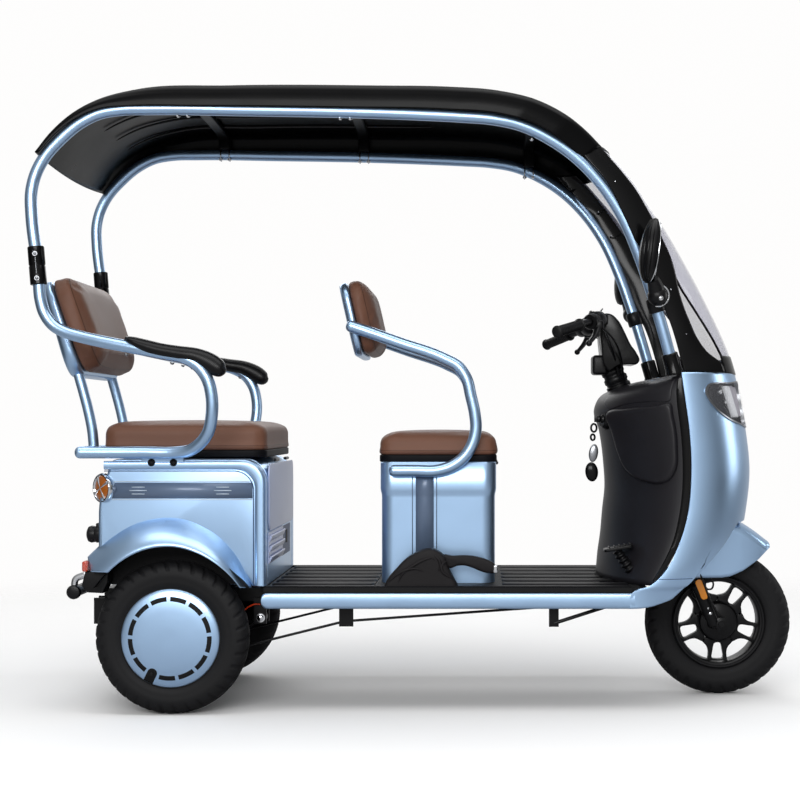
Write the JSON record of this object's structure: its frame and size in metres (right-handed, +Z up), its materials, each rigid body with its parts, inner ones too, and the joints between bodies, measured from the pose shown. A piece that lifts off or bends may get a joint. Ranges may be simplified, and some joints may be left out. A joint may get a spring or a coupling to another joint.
{
  "type": "electric passenger tricycle",
  "caption": "Open electric tricycle with a canopy and windscreen, a driver's seat over a storage box and a wide rear seat over a storage box, steered front wheel and rear axle drive.",
  "frame": {"origin": "on the ground under the middle of the vehicle's length and width", "axes": "+X forward, +Y to the vehicle's left, +Z up"},
  "size_m": [2.0698, 0.8559, 1.66],
  "materials": {
    "blue_paint": "gloss",
    "black_plastic": "satin",
    "black_metal": "satin",
    "rubber": "matte",
    "grip_rubber": "matte",
    "leather": "satin",
    "clear": "clear",
    "lamp_clear": "clear",
    "lamp_red": "gloss",
    "roof_black": "gloss",
    "steel": "satin",
    "grey_panel": "satin",
    "battery_case": "matte"
  },
  "bodies": {
    "chassis": {"armrest_pads": "grip_rubber", "backrest_posts": "blue_paint", "backrest_shells": "blue_paint", "battery_pack": "battery_case", "brake_pedal": "black_metal", "brake_rods": "black_metal", "canopy_couplings": "black_plastic", "chassis_frame": "black_metal", "drive_motor": "black_metal", "driver_arms": "blue_paint", "driver_backrest": "leather", "driver_seat_box": "blue_paint", "floor_deck": "black_plastic", "front_fairing": "blue_paint", "headlights": "lamp_clear", "ignition_key": "black_plastic", "leaf_springs": "black_metal", "leg_shield": "black_plastic", "mirrors": "black_plastic", "parking_brake": "black_plastic", "rear_arms": "blue_paint", "rear_axle": "black_metal", "rear_backrest": "leather", "rear_box": "blue_paint", "rear_box_panel": "grey_panel", "rear_bumper": "black_metal", "roof_crossbars": "black_metal", "roof_panel": "roof_black", "roof_tubes": "blue_paint", "seat_hinges": "steel", "side_sills": "blue_paint", "tail_lamps": "lamp_red", "windscreen": "clear", "windscreen_panels": "roof_black"},
    "steering": {"front_fork": "black_metal", "handlebar": "black_metal", "grips": "grip_rubber", "handlebar_cover": "black_plastic", "brake_levers": "black_metal", "front_fender": "blue_paint"},
    "front_wheel": {"front_tyre": "rubber", "front_rim": "black_metal"},
    "rear_wheel_left": {"rear_tyre_left": "rubber", "rear_rim_left": "black_metal", "rear_hubcap_left": "blue_paint"},
    "rear_wheel_right": {"rear_tyre_right": "rubber", "rear_rim_right": "black_metal", "rear_hubcap_right": "blue_paint"},
    "driver_seat": {"driver_seat_base": "black_plastic", "driver_cushion": "leather"},
    "rear_seat": {"rear_seat_base": "black_plastic", "rear_cushion": "leather"}
  },
  "joints": [
    {"name": "steering_turn", "type": "hinge", "parent": "chassis", "child": "steering", "pos_m": [0.81917, 0, 0.205], "axis": [-0.3746, 0, 0.9272], "range_deg": [-35, 35]},
    {"name": "front_wheel_spin", "type": "hinge", "parent": "steering", "child": "front_wheel", "pos_m": [0.83, 0, 0.205], "axis": [0, 1, 0], "continuous": true},
    {"name": "rear_wheel_left_spin", "type": "hinge", "parent": "chassis", "child": "rear_wheel_left", "pos_m": [-0.653, 0.318, 0.202], "axis": [0, 1, 0], "continuous": true},
    {"name": "rear_wheel_right_spin", "type": "hinge", "parent": "chassis", "child": "rear_wheel_right", "pos_m": [-0.653, -0.318, 0.202], "axis": [0, 1, 0], "continuous": true},
    {"name": "driver_seat_tilt", "type": "hinge", "parent": "chassis", "child": "driver_seat", "pos_m": [0.207, 0, 0.653], "axis": [0, 1, 0], "range_deg": [0, 70]},
    {"name": "rear_seat_tilt", "type": "hinge", "parent": "chassis", "child": "rear_seat", "pos_m": [-0.401, 0, 0.662], "axis": [0, 1, 0], "range_deg": [0, 80]}
  ]
}
